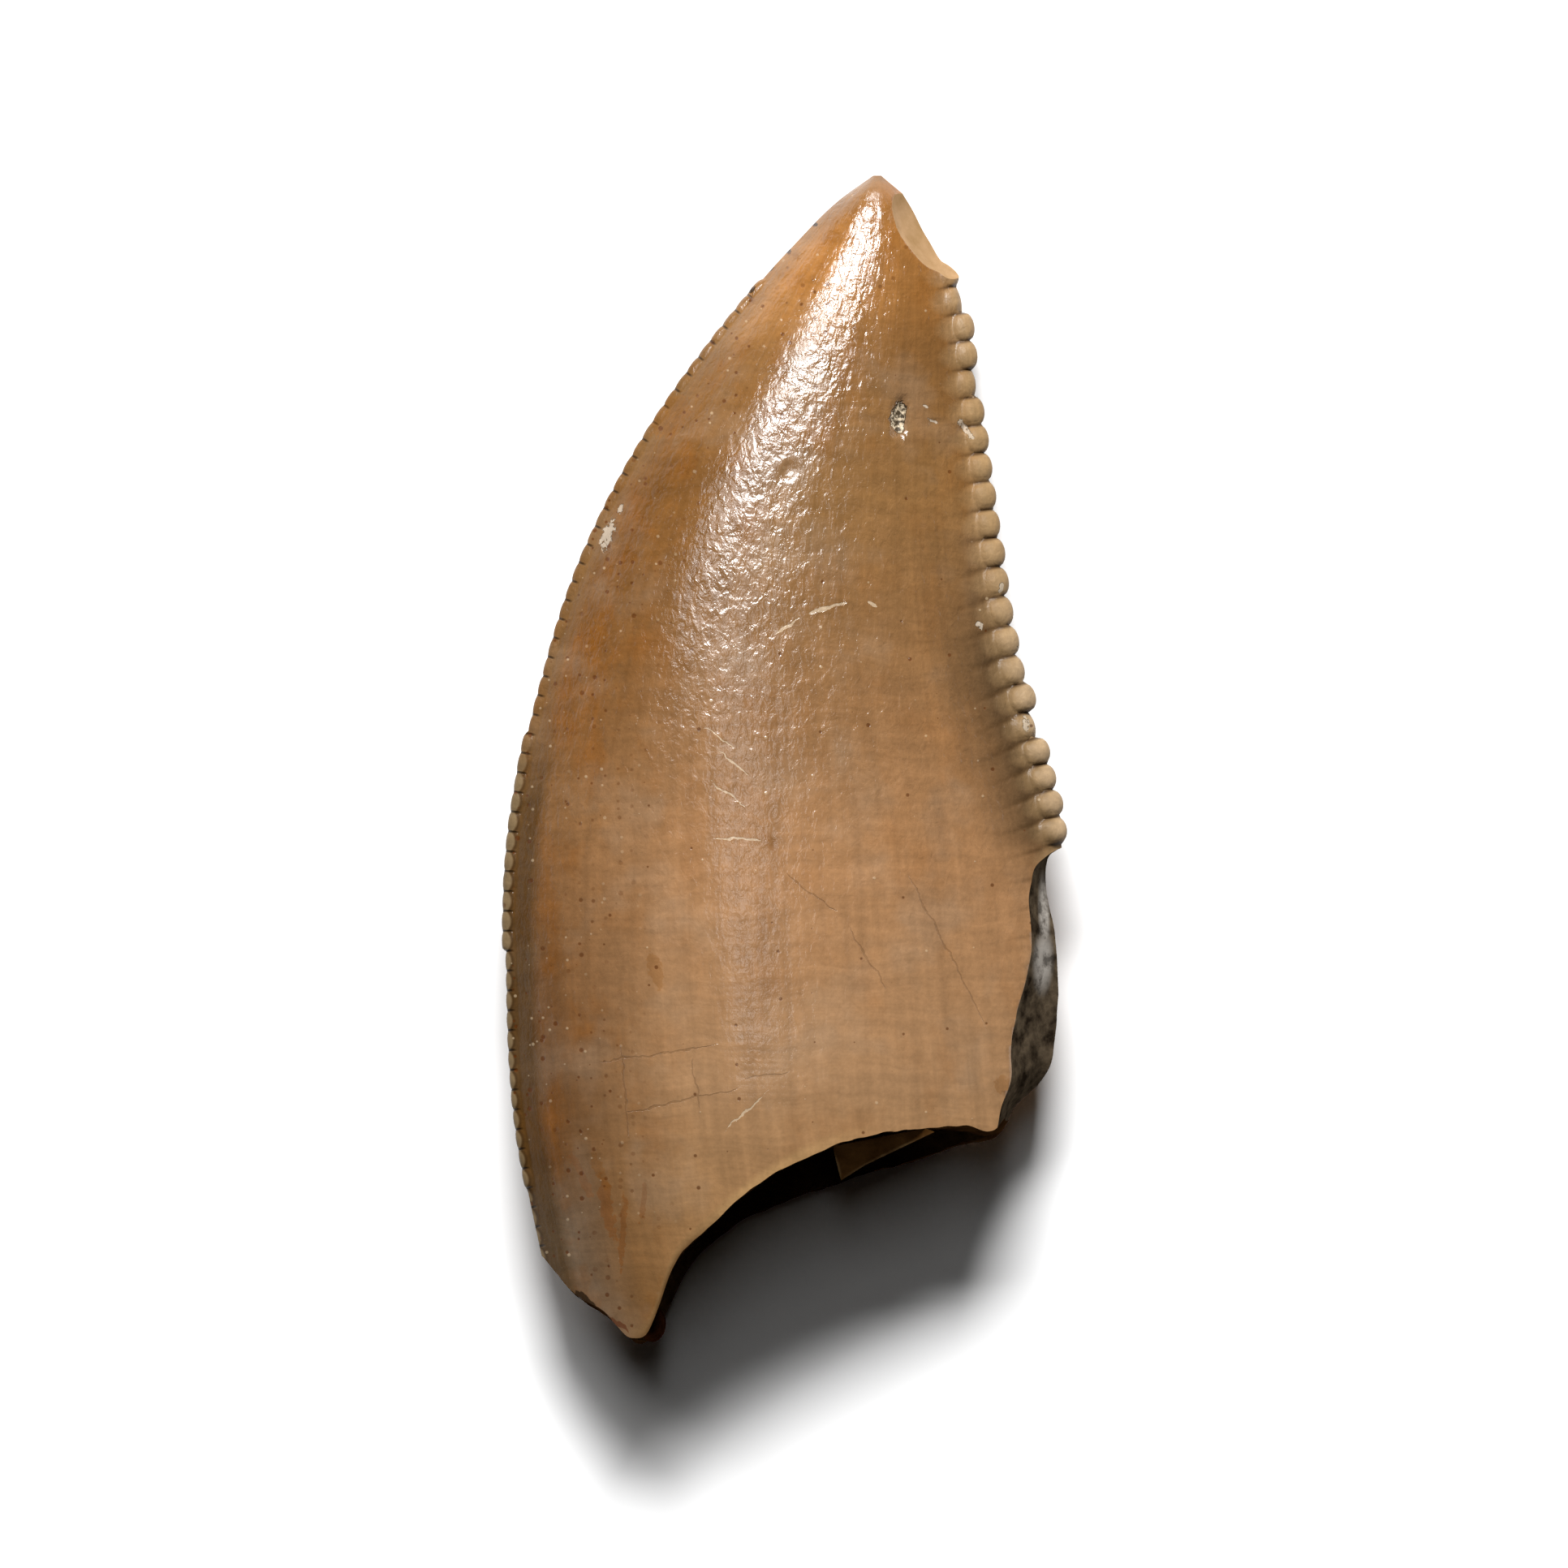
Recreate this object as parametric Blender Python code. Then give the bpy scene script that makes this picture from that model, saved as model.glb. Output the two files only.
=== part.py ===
"""A fossil meat-eating dinosaur's tooth: one hollow crown with serrated edges, broken off at its base.

It lies on its flatter, lingual side with its tip towards +Y. The mesial edge, the front of the
tooth, is on the -X side, and the distal edge with the larger denticles is on the +X side.
Shapes are worked out in millimetres and turned into metres when they become Blender meshes.
"""

import math

import bmesh
import bpy
import numpy as np
from mathutils import Matrix, Vector, noise

MM = 0.001


def curve(stations):
    """A smooth curve through (place, value) stations in rising order, as a function of the place."""
    places, values = np.array(stations, float).T
    slopes = np.gradient(values, places)

    def value_at(place):
        i = min(max(int(np.searchsorted(places, place)) - 1, 0), len(places) - 2)
        span = places[i + 1] - places[i]
        t = min(max((place - places[i]) / span, 0.0), 1.0)
        line = values[i] * (1 + 2 * t) * (1 - t) ** 2 + values[i + 1] * t * t * (3 - 2 * t)
        return line + span * t * (1 - t) * (slopes[i] * (1 - t) - slopes[i + 1] * t)

    return value_at


TIP_Y = 8.19
ROOT_Y = -9.0

# The crown's two edges seen from its labial side, from y to x. The denticles stand on these lines.
mesial_x = curve([
    (-9.00, -2.90), (-6.90, -3.42), (-5.10, -3.76), (-3.20, -3.87), (-1.20, -3.83), (1.07, -3.40),
    (2.89, -2.81), (4.71, -1.84), (6.07, -0.86), (7.22, 0.13), (7.90, 0.83), (8.19, 1.24),
])
distal_x = curve([
    (-9.00, 4.32), (-4.60, 4.20), (-2.60, 4.03), (-0.97, 3.82), (0.14, 3.54), (1.27, 3.23),
    (2.46, 3.01), (4.90, 2.67), (6.47, 2.43), (7.15, 2.24), (7.72, 1.87), (8.19, 1.34),
])

# Heights over the surface that the tooth lies on: the crest of the labial face, the two
# carinae, and the lowest line of the lingual face.
crest_z = curve([
    (-9.00, 2.95), (-7.00, 3.34), (-5.00, 3.52), (-3.00, 3.40), (-1.00, 3.18), (1.00, 2.85), (3.00, 2.39),
    (5.00, 1.83), (6.50, 1.32), (7.30, 1.03), (7.80, 0.84), (8.05, 0.68), (8.19, 0.46),
])
carina_z = curve([(-9.00, 1.80), (-4.00, 1.74), (0.00, 1.52), (4.00, 1.06), (7.00, 0.58), (8.19, 0.38)])
belly_z = curve([
    (-9.00, 0.00), (-5.50, 0.00), (-3.00, 0.06), (0.00, 0.20), (3.00, 0.24), (6.00, 0.10),
    (7.40, 0.02), (7.90, 0.11), (8.19, 0.30),
])
# How far the crests of the two faces lie towards the mesial edge, as a share of the half width.
labial_shift = curve([(-9.00, 0.16), (-1.00, 0.20), (2.00, 0.25), (5.00, 0.19), (8.19, 0.06)])
lingual_shift = curve([(-9.00, 0.27), (2.00, 0.27), (8.19, 0.06)])

# The section's fullness, and the shallow hollow along the lingual face towards the base.
LABIAL_POWER = 2.05
LINGUAL_POWER = 3.3
HOLLOW_DEPTH = 0.26
HOLLOW_HALF_WIDTH = 1.4
HOLLOW_OFFSET = 0.32
HOLLOW_STARTS_Y = 1.0
HOLLOW_FULL_Y = -4.0

# The pulp cavity, open at the base.
CAVITY_TOP_Y = 0.6
WALL = 0.36
CARINA_WALL = 0.95

# Denticles: spacing along the edge, and half sizes outwards, along the edge and up.
DISTAL_PITCH = 0.399
DISTAL_COUNT = 19
DISTAL_FIRST_Y = 6.04
DISTAL_HALF = (0.31, 0.205, 0.27)
MESIAL_PITCH = 0.278
MESIAL_COUNT = 49
MESIAL_FIRST_Y = 6.60
MESIAL_HALF = (0.22, 0.148, 0.18)
DISTAL_PROUD = 0.125
MESIAL_PROUD_WORN = 0.045
MESIAL_PROUD_FRESH = 0.095
MESIAL_FRESH_Y = (-3.20, -0.38)

# The broken base, from x to y: the labial wall broke in a round arc, the lingual wall a little
# lower, and a spur is left between the arc and the slanting break of the mesial corner.
labial_break_y = curve([
    (-4.40, -5.60), (-3.42, -6.94), (-3.02, -7.40), (-2.51, -7.76), (-2.16, -8.08), (-1.94, -8.02),
    (-1.56, -7.06), (-1.12, -6.57), (-0.52, -6.03), (0.08, -5.64), (0.69, -5.37), (1.30, -5.24),
    (1.90, -5.14), (2.51, -5.11), (2.94, -5.15), (3.15, -4.86), (3.57, -4.56), (4.40, -3.60),
])
lingual_break_y = curve([
    (-4.40, -5.60), (-3.42, -6.94), (-3.02, -7.43), (-2.51, -7.78), (-1.96, -8.17), (-1.72, -7.86),
    (-1.40, -7.22), (-0.76, -6.58), (0.33, -6.12), (1.30, -5.79), (2.51, -5.42), (3.06, -5.24),
    (3.30, -4.92), (3.57, -4.60), (4.40, -3.70),
])
# The heights between which the break passes from the lingual to the labial line, and its roughness.
BREAK_CHANGES_Z = (1.0, 2.5)
BREAK_ROUGHNESS = 0.05
BREAK_GRAIN = 0.55
BREAK_HALF_WIDTH = 4.4
BREAK_Z = (-0.6, 4.6)
BREAK_FLOOR_Y = -12.0

# The shell-shaped chip at the tip: the middle of its floor, the way its outward side points in
# degrees about Z, how far it faces up, and the half length, half width and depth radius.
TIP_CHIP = ((1.80, 7.30, 0.57), 34.0, 28.0, (0.92, 0.85, 0.42))

# The long chip along the distal side of the base, from y to x: where the enamel ends, and how far
# out the dentine under it still reaches.
chip_enamel_x = curve([
    (-6.00, 2.70), (-5.15, 2.95), (-4.83, 3.02), (-4.49, 3.15), (-4.04, 3.19), (-3.47, 3.23), (-3.13, 3.32),
    (-2.79, 3.41), (-2.22, 3.43), (-1.77, 3.45), (-1.43, 3.60), (-1.24, 3.90), (-1.10, 4.40),
])
chip_dentine_x = curve([
    (-6.00, 3.00), (-5.12, 3.11), (-4.86, 3.22), (-4.55, 3.57), (-4.36, 3.70), (-3.70, 3.80), (-2.90, 3.86),
    (-2.45, 3.83), (-1.99, 3.70), (-1.50, 3.70), (-1.31, 3.80), (-1.15, 4.20), (-1.05, 4.60),
])
CHIP_Y = (-6.0, -1.05)
CHIP_T = (-2.0, 2.5)
CHIP_UNDER_CARINA = 0.25
CHIP_SCOOP = 0.7
CHIP_FLOOR_X = 6.0

# A thin flake that still hangs from the inside of the labial wall: its outline, its two faces,
# and how steeply it droops from its root.
FLAKE = [(0.60, -5.15), (0.67, -5.42), (0.78, -5.88), (1.12, -5.66), (2.08, -5.19), (1.40, -4.90)]
FLAKE_Z = (2.96, 3.12)
FLAKE_ROOT_Y = -5.10
FLAKE_DROOP = 0.75

# How the finished crown comes to rest: small turns about X and Y in degrees, then a shift.
REST_TURN_X = 0.57
REST_TURN_Y = -0.19
REST_SHIFT = (0.0225, 0.0124, -0.0808)

# Facets. The crowding draws the rings towards the tip, where the form changes fastest.
CROWN_SIDES = 34
CROWN_RINGS = 42
CROWN_CROWDING = 1.25
CAVITY_SIDES = 22
CAVITY_RINGS = 14
CAVITY_CROWDING = 1.3
BREAK_GRID = (66, 10)
CHIP_GRID = (26, 9)
SHARP_ANGLE = 40.0


def ramp(value, low, high):
    """A smooth step from 0 at low to 1 at high."""
    t = min(max((value - low) / (high - low), 0.0), 1.0)
    return t * t * (3 - 2 * t)


def crown_point(angle, y, wall=0.0, carina_wall=0.0, taper=1.0):
    """A point of the surface at height y: angle 0 is the distal carina, 90 degrees the labial crest.

    The walls move it inwards, and the taper closes the section, for the pulp cavity.
    """
    mesial = mesial_x(y) + carina_wall
    distal = distal_x(y) - carina_wall
    labial = math.sin(angle) >= 0
    shift = labial_shift(y) if labial else lingual_shift(y)
    crest_x = (mesial + distal) / 2 - shift * (distal - mesial) / 2
    edge_z = carina_z(y)
    across = math.cos(angle)
    reach = (distal - crest_x) if across > 0 else (crest_x - mesial)
    x = crest_x + reach * across * taper
    if labial:
        height = crest_z(y) - wall - edge_z
        return x, y, edge_z + height * (1 - abs(across) ** LABIAL_POWER) * taper
    fullness = 1 - abs(across) ** LINGUAL_POWER
    hollow = HOLLOW_DEPTH * ramp(-y, -HOLLOW_STARTS_Y, -HOLLOW_FULL_Y)
    hollow *= math.exp(-(((x - crest_x - HOLLOW_OFFSET) / HOLLOW_HALF_WIDTH) ** 2))
    depth = edge_z - belly_z(y) - wall - hollow
    return x, y, edge_z - depth * fullness * taper


def object_from(mesh, name, collection):
    bmesh.ops.recalc_face_normals(mesh, faces=mesh.faces)
    data = bpy.data.meshes.new(name)
    mesh.to_mesh(data)
    mesh.free()
    obj = bpy.data.objects.new(name, data)
    collection.objects.link(obj)
    return obj


def make_ball(name, sides, rings, shape, collection):
    """A sphere whose points move to shape(angle around it, share of the way from pole to pole)."""
    mesh = bmesh.new()
    made = bmesh.ops.create_uvsphere(mesh, u_segments=sides, v_segments=rings, radius=1.0)
    for vertex in made["verts"]:
        share = math.acos(max(-1.0, min(1.0, vertex.co.z))) / math.pi
        angle = math.atan2(vertex.co.y, vertex.co.x)
        vertex.co = Vector(shape(angle, share)) * MM
    return object_from(mesh, name, collection)


def make_crown(collection):
    """The whole crown with its carinae, down past the break."""

    def shape(angle, share):
        return crown_point(angle, TIP_Y + (ROOT_Y - TIP_Y) * share**CROWN_CROWDING)

    return make_ball("tooth", CROWN_SIDES, CROWN_RINGS, shape, collection)


def make_pulp_cavity(collection):
    """The hollow inside the crown: the crown's own form, less its walls, narrowing to a blunt point."""
    bottom = ROOT_Y - 0.5

    def shape(angle, share):
        y = CAVITY_TOP_Y + (bottom - CAVITY_TOP_Y) * share**CAVITY_CROWDING
        taper = math.sin(share * math.pi / 2) ** 0.8
        return crown_point(angle, y, WALL, CARINA_WALL, taper)

    return make_ball("pulp_cavity", CAVITY_SIDES, CAVITY_RINGS, shape, collection)


def edge_places(edge_x, side, first_y, pitch, count):
    """(x, y, outward angle) of places that lie one pitch apart down an edge. side is 1 for distal."""
    ys = np.arange(first_y, ROOT_Y, -0.002)
    xs = np.array([edge_x(y) for y in ys])
    along = np.concatenate([[0], np.cumsum(np.hypot(np.diff(xs), np.diff(ys)))])
    places = []
    for number in range(count):
        i = int(np.searchsorted(along, number * pitch))
        tangent = math.atan2(ys[i + 1] - ys[i], xs[i + 1] - xs[i])
        places.append((xs[i], ys[i], tangent + side * math.pi / 2))
    return places


def make_denticles(name, places, half, proud_at, sides, collection):
    """A row of rounded lobes, each set into the carina so that it stands proud_at(y) outside it."""
    outward = half[0]
    mesh = bmesh.new()
    for x, y, angle in places:
        back = outward - proud_at(y)
        centre = Vector((x - back * math.cos(angle), y - back * math.sin(angle), carina_z(y)))
        place = Matrix.Translation(centre * MM) @ Matrix.Rotation(angle, 4, "Z")
        size = Matrix.Diagonal([value * MM for value in half] + [1.0])
        bmesh.ops.create_uvsphere(mesh, u_segments=sides, v_segments=6, radius=1.0, matrix=place @ size)
    return object_from(mesh, name, collection)


def mesial_proud(y):
    """The mesial denticles are worn down, apart from a fresh stretch below the middle."""
    low, high = MESIAL_FRESH_Y
    return MESIAL_PROUD_FRESH if low < y < high else MESIAL_PROUD_WORN


def break_point(x, z):
    """Where the base is broken off: the labial line high up, the lingual line low down, and rough."""
    labial = ramp(z, *BREAK_CHANGES_Z)
    rough = BREAK_ROUGHNESS * noise.noise(Vector((x / BREAK_GRAIN, z / BREAK_GRAIN, 3.7)))
    return x, labial * labial_break_y(x) + (1 - labial) * lingual_break_y(x) + rough, z


def make_block(name, grid, spans, surface, floor_axis, floor, collection):
    """A block whose one face is surface(a, b) over two spans, and whose far end is at the floor."""
    mesh = bmesh.new()
    made = bmesh.ops.create_grid(mesh, x_segments=grid[0], y_segments=grid[1], size=1.0)
    for vertex in made["verts"]:
        a, b = [(low + high) / 2 + (high - low) / 2 * t for t, (low, high) in zip(vertex.co, spans)]
        vertex.co = Vector(surface(a, b)) * MM
    far_end = bmesh.ops.extrude_face_region(mesh, geom=list(mesh.faces))["geom"]
    for vertex in far_end:
        if isinstance(vertex, bmesh.types.BMVert):
            vertex.co[floor_axis] = floor * MM
    return object_from(mesh, name, collection)


def make_base_break(collection):
    """A block under the crown whose upper face follows the break."""
    spans = ((-BREAK_HALF_WIDTH, BREAK_HALF_WIDTH), BREAK_Z)
    return make_block("base_break", BREAK_GRID, spans, break_point, 1, BREAK_FLOOR_Y, collection)


def labial_z(x, y):
    """The height of the labial face."""
    crest_x = (mesial_x(y) + distal_x(y)) / 2 - labial_shift(y) * (distal_x(y) - mesial_x(y)) / 2
    across = min(abs(x - crest_x) / (distal_x(y) - crest_x), 1.0)
    return carina_z(y) + (crest_z(y) - carina_z(y)) * (1 - across**LABIAL_POWER)


def chip_point(y, t):
    """The distal chip's floor: t is 0 at the dentine's outline and 1 at the enamel's edge.

    Beyond them it goes on down and up in millimetres.
    """
    enamel_x, dentine_x = chip_enamel_x(y), chip_dentine_x(y)
    low = carina_z(y) - CHIP_UNDER_CARINA
    high = max(labial_z(enamel_x, y), low + 0.2)
    if t < 0:
        return dentine_x + 0.35 * t, y, low + t
    if t < 1:
        return dentine_x + (enamel_x - dentine_x) * t**CHIP_SCOOP, y, low + (high - low) * t
    return enamel_x + 0.5 * (enamel_x - dentine_x) * (t - 1), y, high + t - 1


def make_distal_chip(collection):
    """A block beside the crown whose inner face is the floor of the distal chip."""
    return make_block("distal_chip", CHIP_GRID, (CHIP_Y, CHIP_T), chip_point, 0, CHIP_FLOOR_X, collection)


def make_tip_chip(collection):
    """An egg shape that leaves a smooth shell-like hollow where a chip flew off the tip."""
    floor, outward, up, (half_length, half_width, depth) = TIP_CHIP
    turn = Matrix.Rotation(math.radians(outward), 4, "Z") @ Matrix.Rotation(-math.radians(up), 4, "Y")
    centre = Vector(floor) + turn @ Vector((depth, 0, 0))
    size = Matrix.Diagonal((depth * MM, half_length * MM, half_width * MM, 1.0))
    place = Matrix.Translation(centre * MM) @ turn @ size
    mesh = bmesh.new()
    bmesh.ops.create_uvsphere(mesh, u_segments=24, v_segments=16, radius=1.0, matrix=place)
    return object_from(mesh, "tip_chip", collection)


def make_flake(collection):
    """A thin plate of the flake's outline, drooping from its root."""
    low, high = FLAKE_Z
    mesh = bmesh.new()
    face = mesh.faces.new([mesh.verts.new((x, y, low)) for x, y in FLAKE])
    raised = bmesh.ops.extrude_face_region(mesh, geom=[face])["geom"]
    for vertex in raised:
        if isinstance(vertex, bmesh.types.BMVert):
            vertex.co.z = high
    for vertex in mesh.verts:
        vertex.co.z += FLAKE_DROOP * min(vertex.co.y - FLAKE_ROOT_Y, 0.0)
        vertex.co *= MM
    return object_from(mesh, "flake", collection)


def boolean(tooth, other, operation):
    """Joins or cuts the tooth with a helper, which is hidden from renders and moves with the tooth."""
    other.parent = tooth
    other.hide_render = True
    other.display_type = "WIRE"
    modifier = tooth.modifiers.new(f"{operation.lower()}_{other.name}", "BOOLEAN")
    modifier.operation = operation
    modifier.object = other


def enamel_material():
    """Fossil enamel: a tan brown with a low gloss."""
    material = bpy.data.materials.new("fossil_enamel")
    material.use_nodes = True
    shader = material.node_tree.nodes["Principled BSDF"]
    shader.inputs["Base Color"].default_value = (0.37, 0.215, 0.105, 1.0)
    shader.inputs["Roughness"].default_value = 0.35
    shader.inputs["Metallic"].default_value = 0.0
    return material


def main():
    for obj in list(bpy.data.objects):
        bpy.data.objects.remove(obj)
    parts = bpy.data.collections.new("fossil_tooth")
    helpers = bpy.data.collections.new("cutters")
    bpy.context.scene.collection.children.link(parts)
    bpy.context.scene.collection.children.link(helpers)

    tooth = make_crown(parts)
    distal = edge_places(distal_x, 1, DISTAL_FIRST_Y, DISTAL_PITCH, DISTAL_COUNT)
    mesial = edge_places(mesial_x, -1, MESIAL_FIRST_Y, MESIAL_PITCH, MESIAL_COUNT)
    denticles = [
        make_denticles("distal_denticles", distal, DISTAL_HALF, lambda y: DISTAL_PROUD, 10, helpers),
        make_denticles("mesial_denticles", mesial, MESIAL_HALF, mesial_proud, 8, helpers),
    ]
    for row in denticles:
        boolean(tooth, row, "UNION")
    for make_cutter in (make_pulp_cavity, make_base_break, make_tip_chip, make_distal_chip):
        boolean(tooth, make_cutter(helpers), "DIFFERENCE")
    boolean(tooth, make_flake(helpers), "UNION")

    tooth.data.shade_smooth()
    tooth.data.set_sharp_from_angle(angle=math.radians(SHARP_ANGLE))
    tooth.data.materials.append(enamel_material())
    tooth.rotation_euler = (math.radians(REST_TURN_X), math.radians(REST_TURN_Y), 0.0)
    tooth.location = Vector(REST_SHIFT) * MM


main()
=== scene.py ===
"""The fossil tooth in full detail, with its materials, the floor, the light and the camera.

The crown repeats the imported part's own form in millimetres, with finer denticles, chips and relief,
and becomes one mesh in metres. The tip points to +Y, the distal edge with the large denticles to
+X, and the labial face looks up.
"""

import math

import bmesh
import bpy
import numpy as np
from mathutils import Euler, Matrix, Vector, noise


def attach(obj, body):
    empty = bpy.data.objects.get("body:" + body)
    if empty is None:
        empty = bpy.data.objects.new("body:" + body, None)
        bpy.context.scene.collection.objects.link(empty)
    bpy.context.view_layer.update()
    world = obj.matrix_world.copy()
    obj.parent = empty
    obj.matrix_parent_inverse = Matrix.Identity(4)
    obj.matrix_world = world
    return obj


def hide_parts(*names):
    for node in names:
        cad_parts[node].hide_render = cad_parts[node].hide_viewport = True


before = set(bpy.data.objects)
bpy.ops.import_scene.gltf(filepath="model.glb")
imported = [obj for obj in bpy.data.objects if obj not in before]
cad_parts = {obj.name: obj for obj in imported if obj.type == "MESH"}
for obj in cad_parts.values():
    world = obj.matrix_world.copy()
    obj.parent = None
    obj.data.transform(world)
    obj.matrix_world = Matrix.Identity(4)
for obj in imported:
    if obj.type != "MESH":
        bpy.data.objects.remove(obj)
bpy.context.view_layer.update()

MM = 0.001


def curve(stations):
    """A smooth curve through (place, value) stations in rising order, for one place or many."""
    places, values = np.array(stations, float).T
    slopes = np.gradient(values, places)

    def value_at(place):
        i = np.clip(np.searchsorted(places, place) - 1, 0, len(places) - 2)
        span = places[i + 1] - places[i]
        t = np.clip((place - places[i]) / span, 0.0, 1.0)
        line = values[i] * (1 + 2 * t) * (1 - t) ** 2 + values[i + 1] * t * t * (3 - 2 * t)
        return line + span * t * (1 - t) * (slopes[i] * (1 - t) - slopes[i + 1] * t)

    return value_at


def ramp(value, low, high):
    """A smooth step from 0 at low to 1 at high."""
    t = np.clip((value - low) / (high - low), 0.0, 1.0)
    return t * t * (3 - 2 * t)


# The crown's form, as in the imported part: along y in millimetres, the two edges, the labial
# crest's, the edges' and the lingual belly's heights, and how far the crests lie to the mesial side.
TIP_Y = 8.19
ROOT_Y = -9.0
mesial_x = curve([
    (-9.00, -2.90), (-6.90, -3.42), (-5.10, -3.76), (-3.20, -3.87), (-1.20, -3.83), (1.07, -3.40),
    (2.89, -2.81), (4.71, -1.84), (6.07, -0.86), (7.22, 0.13), (7.90, 0.83), (8.19, 1.24),
])
distal_x = curve([
    (-9.00, 4.32), (-4.60, 4.20), (-2.60, 4.03), (-0.97, 3.82), (0.14, 3.54), (1.27, 3.23),
    (2.46, 3.01), (4.90, 2.67), (6.47, 2.43), (7.15, 2.24), (7.72, 1.87), (8.19, 1.34),
])
crest_z = curve([
    (-9.00, 2.95), (-7.00, 3.34), (-5.00, 3.52), (-3.00, 3.40), (-1.00, 3.18), (1.00, 2.85), (3.00, 2.39),
    (5.00, 1.83), (6.50, 1.32), (7.30, 1.03), (7.80, 0.84), (8.05, 0.68), (8.19, 0.46),
])
carina_z = curve([(-9.00, 1.80), (-4.00, 1.74), (0.00, 1.52), (4.00, 1.06), (7.00, 0.58), (8.19, 0.38)])
belly_z = curve([
    (-9.00, 0.00), (-5.50, 0.00), (-3.00, 0.06), (0.00, 0.20), (3.00, 0.24), (6.00, 0.10),
    (7.40, 0.02), (7.90, 0.11), (8.19, 0.30),
])
labial_shift = curve([(-9.00, 0.16), (-1.00, 0.20), (2.00, 0.25), (5.00, 0.19), (8.19, 0.06)])
lingual_shift = curve([(-9.00, 0.27), (2.00, 0.27), (8.19, 0.06)])

# How full the two faces are, and the shallow hollow down the lingual side: its depth, half width,
# how far it lies to the distal side of the crest, and from where to where it deepens.
LABIAL_POWER = 2.05
LINGUAL_POWER = 3.3
HOLLOW_DEPTH = 0.26
HOLLOW_HALF_WIDTH = 1.4
HOLLOW_OFFSET = 0.32
HOLLOW_Y = (1.0, -4.0)

# The pulp cavity, open at the base: its top, the walls at the faces and at the edges, how quickly
# it narrows to its top, and the size and height of the lumps of its lining.
CAVITY_TOP_Y = 0.6
WALL = 0.36
CARINA_WALL = 0.95
CAVITY_TAPER = 0.8
CAVITY_LUMPS = (0.5, 0.04)
CAVITY_PAST_ROOT = 0.5

# How the finished crown lies: small turns about X and Y in degrees, and a shift.
REST_TURN = (0.57, -0.19)
REST_SHIFT = (0.0225, 0.0124, -0.0808)

# The facets of the fine mesh. The crowding draws rings to the tip and sides to the crests, and
# edges above the angle in degrees stay sharp.
CROWN_SIDES = 224
CROWN_RINGS = 425
CROWN_CROWDING = 1.25
SIDE_CROWDING = 0.15
CAVITY_SIDES = 96
CAVITY_RINGS = 90
CAVITY_CROWDING = 1.3
SHARP_ANGLE = 50.0

# The rows of denticles: the edge, its side, the first one's y, their spacing and number, the half
# sizes of a denticle outwards and up at the row's two ends, how far they stand proud, how deep
# the notches leave them, and how square they are. Some, counted from the tip, are worn, broken or
# fresh and stand out by another height, and the middle of the distal row is drawn apart a little.
DISTAL = {
    "edge": distal_x, "side": 1, "first_y": 6.83, "pitch": 0.397, "count": 21,
    "reach": (0.19, 0.25), "half_up": (0.17, 0.22), "proud": 0.122, "notch": 0.44, "round": 2.0,
    "proud_of": {
        0: 0.08, 1: 0.02, 2: 0.14, 4: 0.05, 10: 0.14, 15: 0.175, 16: 0.045, 17: 0.16, 18: 0.145, 19: 0.15,
    },
    "drawn": 0.28,
}
MESIAL = {
    "edge": mesial_x, "side": -1, "first_y": 6.60, "pitch": 0.278, "count": 49,
    "reach": (0.12, 0.12), "half_up": (0.10, 0.10), "proud": 0.040, "notch": 0.74, "round": 2.2,
    "proud_of": {number: 0.085 for number in range(26, 37)},
    "drawn": 0.0,
}

# Where a row is drawn apart: the middle and the spread in denticles.
DRAWN_MIDDLE = 15.5
DRAWN_SPREAD = 4.0

# Both rows: how much a denticle's height varies, with a noise that moves on this far from one to
# the next, how softly it meets the face, how far in the swelling reaches, its fade past the row's
# ends in half spacings, and the step in millimetres at which an edge is measured.
UNEVEN = 0.12
NOISE_STEP = 1.37
DENTICLE_BLEND = 0.30
ROW_DEPTH = 1.2
ROW_FADE = (1.0, 1.4)
LINE_STEP = 0.01

# Relief of the faces, in millimetres: the long low waves across the crown, and the facets that run
# from the tip to the base, each with its stretch. The lingual side is a little lower.
WAVE_HEIGHT = 0.005
WAVE_STRETCH = (0.5, 2.6, 1.0)
FACET_HEIGHT = 0.008
FACET_STRETCH = (5.0, 0.16, 3.0)
LINGUAL_DROP = 0.02

# The shallow furrow beside the distal denticles: its depth, how far in it starts, is deepest and
# ends, and the denticles between which it starts and ends.
FURROW_DEPTH = 0.05
FURROW_IN = (0.30, 0.60, 1.30)
FURROW_STARTS = (4.0, 14.0)
FURROW_ENDS = (20.2, 21.5)

# The slanting grooves that run in from the distal notches: depth, slant and half width in
# spacings, how far in they start and fade out, how much farther that is low in the row, at which
# denticles they start and end, and the least share of their depth.
GROOVE_DEPTH = 0.03
GROOVE_SLANT = 0.3
GROOVE_HALF_WIDTH = 0.34
GROOVE_IN = (0.12, 0.25)
GROOVE_OUT = (0.20, 0.35)
GROOVE_FARTHER = 0.5
GROOVE_STARTS = (1.0, 2.0)
GROOVE_ENDS = (19.8, 20.6)
GROOVE_LEAST = 0.3

# Pits in the labial face: middle, half length and half width, the turn in degrees, and depth.
PITS = [
    ((1.60, 4.77), 0.33, 0.11, 82.0, 0.10),
    ((0.05, 4.03), 0.16, 0.10, 60.0, 0.035),
    ((2.55, 4.66), 0.13, 0.08, 40.0, 0.05),
    ((2.09, 4.71), 0.09, 0.05, 20.0, 0.03),
]

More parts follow.
